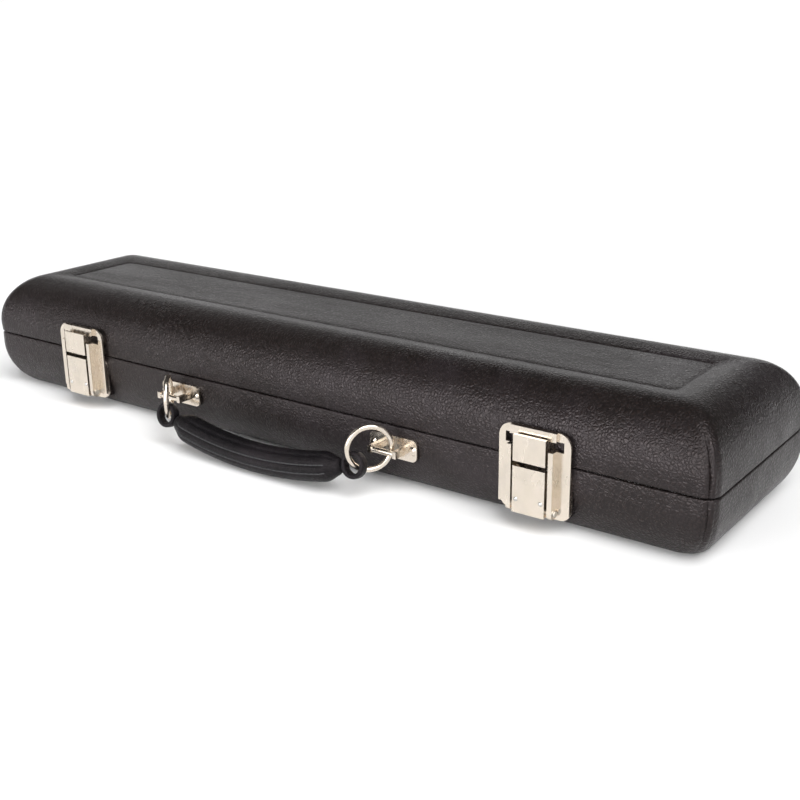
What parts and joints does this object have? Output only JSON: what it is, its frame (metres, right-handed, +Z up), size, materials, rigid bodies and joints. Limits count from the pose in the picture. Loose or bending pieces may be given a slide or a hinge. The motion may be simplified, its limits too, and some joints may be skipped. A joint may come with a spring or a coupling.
{
  "type": "instrument case",
  "caption": "Hard flute case with a hinged lid, snap latches on the front, a padded handle on rings and a lined inside.",
  "frame": {"origin": "middle of the flat underside that the case rests on", "axes": "+X along the case to the right seen from the latches, +Y from the latches to the hinges, +Z up"},
  "size_m": [0.4, 0.1284, 0.057],
  "materials": {
    "case_leather": "satin",
    "handle_leather": "satin",
    "nickel": "polished",
    "steel_pins": "satin",
    "rim_metal": "satin",
    "plush_base": "matte",
    "plush_lid": "matte"
  },
  "bodies": {
    "base": {"base_shell": "case_leather", "base_rim": "rim_metal", "base_insert": "plush_base", "hinge_leaf_base_left": "nickel", "hinge_pin_left": "steel_pins", "latch_bracket_left": "nickel", "latch_pin_left": "steel_pins", "handle_plate_left": "nickel", "hinge_leaf_base_right": "nickel", "hinge_pin_right": "steel_pins", "latch_bracket_right": "nickel", "latch_pin_right": "steel_pins", "handle_plate_right": "nickel", "hinge_rivets_base": "nickel", "latch_rivets_base": "steel_pins", "handle_rivets": "nickel"},
    "lid": {"lid_shell": "case_leather", "lid_lining": "plush_lid", "hinge_leaf_lid_left": "nickel", "hinge_leaf_lid_right": "nickel", "hinge_rivets_lid": "nickel", "latch_keeper_left": "nickel", "latch_keeper_right": "nickel", "latch_rivets_lid": "steel_pins"},
    "latch_left": {"latch_frame_left": "nickel"},
    "latch_right": {"latch_frame_right": "nickel"},
    "rings": {"handle_ring_left": "nickel", "handle_ring_right": "nickel"},
    "grip": {"handle_grip": "handle_leather", "handle_core": "steel_pins", "handle_loop_left": "handle_leather", "handle_loop_right": "handle_leather"}
  },
  "joints": [
    {"name": "lid_hinge", "type": "hinge", "parent": "base", "child": "lid", "pos_m": [0, 0.0516, 0.028], "axis": [-1, 0, 0], "range_deg": [0, 105]},
    {"name": "latch_left_swing", "type": "hinge", "parent": "base", "child": "latch_left", "pos_m": [-0.1294, -0.0529, 0.0096], "axis": [1, 0, 0], "range_deg": [0, 100]},
    {"name": "latch_right_swing", "type": "hinge", "parent": "base", "child": "latch_right", "pos_m": [0.1294, -0.0529, 0.0096], "axis": [1, 0, 0], "range_deg": [0, 100]},
    {"name": "ring_swing", "type": "hinge", "parent": "base", "child": "rings", "pos_m": [0, -0.057, 0.0192], "axis": [-1, 0, 0], "range_deg": [0, 25]},
    {"name": "grip_swing", "type": "hinge", "parent": "rings", "child": "grip", "pos_m": [0, -0.06636, 0.01468], "axis": [-1, 0, 0], "range_deg": [0, 70]}
  ]
}
